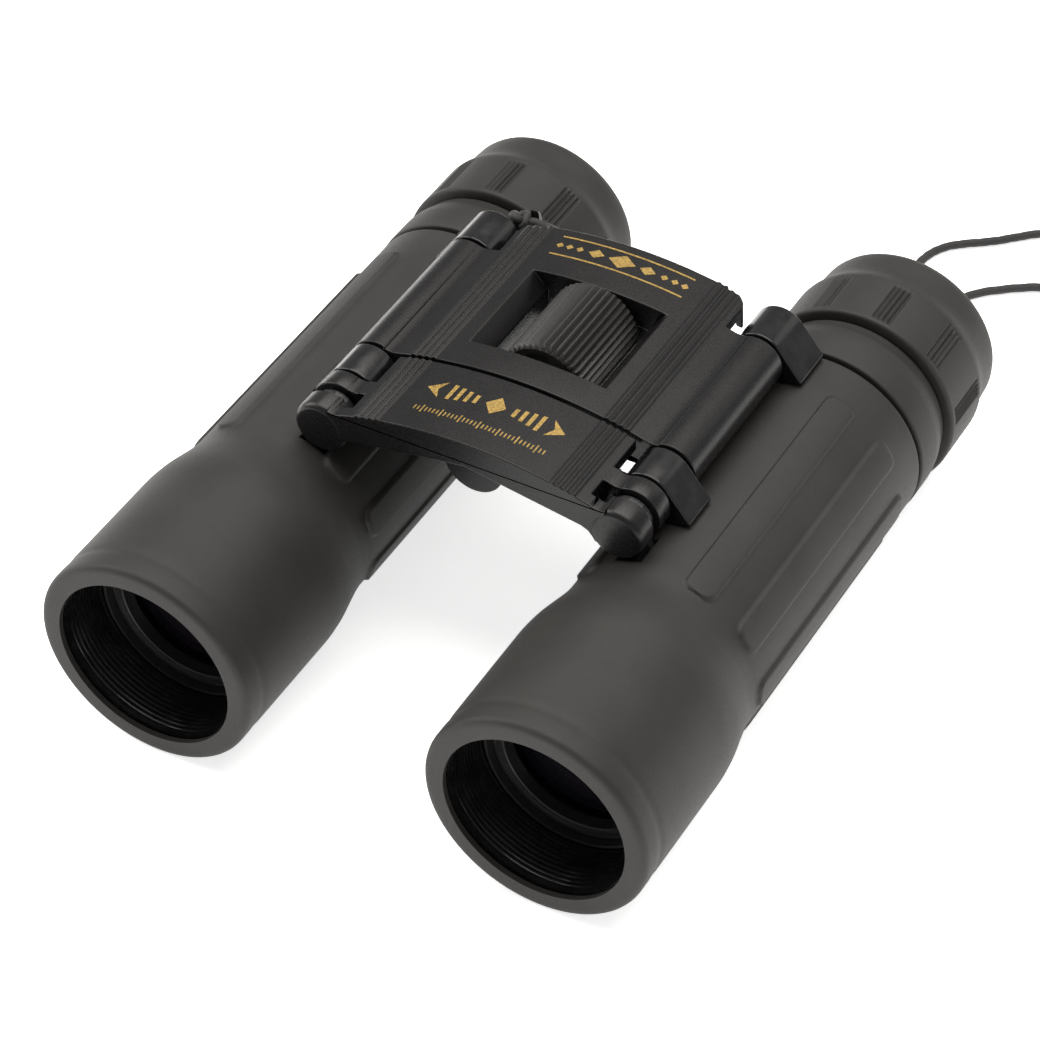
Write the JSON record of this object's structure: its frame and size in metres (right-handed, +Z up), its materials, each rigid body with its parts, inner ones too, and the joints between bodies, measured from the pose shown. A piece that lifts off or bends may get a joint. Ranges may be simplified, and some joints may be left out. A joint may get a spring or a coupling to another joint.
{
  "type": "binoculars",
  "caption": "Compact roof-prism binoculars with two folding hinges, arched bridge, centre focus wheel, rubber-armoured barrels and a neck cord.",
  "frame": {"origin": "middle of the footprint, on the surface the binoculars lie on, measured without the neck cord", "axes": "+X towards the user's left barrel, +Y from the objectives to the eyepieces, +Z up through the bridge"},
  "size_m": [0.1081, 0.1725, 0.0431],
  "materials": {
    "rubber_armour": "matt",
    "black_plastic": "semi-gloss",
    "matt_black_plastic": "matt",
    "steel": "satin",
    "blackened_steel": "blackened",
    "brass": "satin",
    "coated_glass": "anti-reflection coated",
    "nylon_cord": "braided"
  },
  "bodies": {
    "bridge": {"rear_bridge": "black_plastic", "hinge_pin_left": "steel", "hinge_pin_right": "steel", "neck_cord_out": "nylon_cord", "neck_cord_back": "nylon_cord", "neck_cord_coil": "nylon_cord"},
    "front_bridge": {"front_bridge": "black_plastic", "focus_nut": "brass"},
    "focus_wheel": {"focus_wheel": "black_plastic", "focus_screw": "steel", "shaft_clip": "steel"},
    "barrel_left": {"barrel_left": "black_plastic", "armour_left": "rubber_armour", "rear_cap_left": "rubber_armour", "prism_cage_left": "matt_black_plastic", "entrance_prism_left": "coated_glass", "roof_prism_left": "coated_glass", "eyepiece_ring_left": "black_plastic", "eyecup_left": "rubber_armour", "eyepiece_tube_left": "black_plastic", "field_lens_left": "coated_glass", "field_stop_left": "matt_black_plastic", "eye_lens_left": "coated_glass"},
    "barrel_right": {"barrel_right": "black_plastic", "armour_right": "rubber_armour", "rear_cap_right": "rubber_armour", "prism_cage_right": "matt_black_plastic", "entrance_prism_right": "coated_glass", "roof_prism_right": "coated_glass"},
    "objective_left": {"objective_cell_left": "matt_black_plastic", "objective_lens_left": "coated_glass", "objective_ring_left": "matt_black_plastic", "focus_arm_left": "blackened_steel"},
    "objective_right": {"objective_cell_right": "matt_black_plastic", "objective_lens_right": "coated_glass", "objective_ring_right": "matt_black_plastic", "focus_arm_right": "blackened_steel"},
    "dioptre_ring": {"eyepiece_ring_right": "black_plastic", "eyecup_right": "rubber_armour"},
    "dioptre_lenses": {"eyepiece_tube_right": "black_plastic", "field_lens_right": "coated_glass", "field_stop_right": "matt_black_plastic", "eye_lens_right": "coated_glass"}
  },
  "joints": [
    {"name": "fold_left", "type": "hinge", "parent": "bridge", "child": "barrel_left", "pos_m": [0.0235, 0, 0.0352], "axis": [0, 1, 0], "range_deg": [-15, 40]},
    {"name": "fold_right", "type": "hinge", "parent": "bridge", "child": "barrel_right", "pos_m": [-0.0235, 0, 0.0352], "axis": [0, -1, 0], "range_deg": [-15, 40]},
    {"name": "focus_wheel_turn", "type": "hinge", "parent": "bridge", "child": "focus_wheel", "pos_m": [0, 0, 0.0362], "axis": [0, -1, 0], "range_deg": [0, 277.5]},
    {"name": "front_bridge_slide", "type": "slide", "parent": "bridge", "child": "front_bridge", "axis": [0, -1, 0], "range_m": [0, 0.003]},
    {"name": "objective_slide_left", "type": "slide", "parent": "barrel_left", "child": "objective_left", "axis": [0, -1, 0], "range_m": [0, 0.003]},
    {"name": "objective_slide_right", "type": "slide", "parent": "barrel_right", "child": "objective_right", "axis": [0, -1, 0], "range_m": [0, 0.003]},
    {"name": "dioptre_turn", "type": "hinge", "parent": "barrel_right", "child": "dioptre_ring", "pos_m": [-0.03075, 0, 0.0169], "axis": [0, -1, 0], "range_deg": [-60.5, 60.5]},
    {"name": "dioptre_slide", "type": "slide", "parent": "barrel_right", "child": "dioptre_lenses", "axis": [0, 1, 0], "range_m": [-0.001, 0.001]}
  ],
  "couplings": [
    {"joint": "focus_wheel_turn", "follows": "front_bridge_slide", "rad_per_m": 1611.5},
    {"joint": "objective_slide_left", "follows": "front_bridge_slide", "ratio": 1},
    {"joint": "objective_slide_right", "follows": "front_bridge_slide", "ratio": 1},
    {"joint": "dioptre_turn", "follows": "dioptre_slide", "rad_per_m": 1047.2}
  ]
}
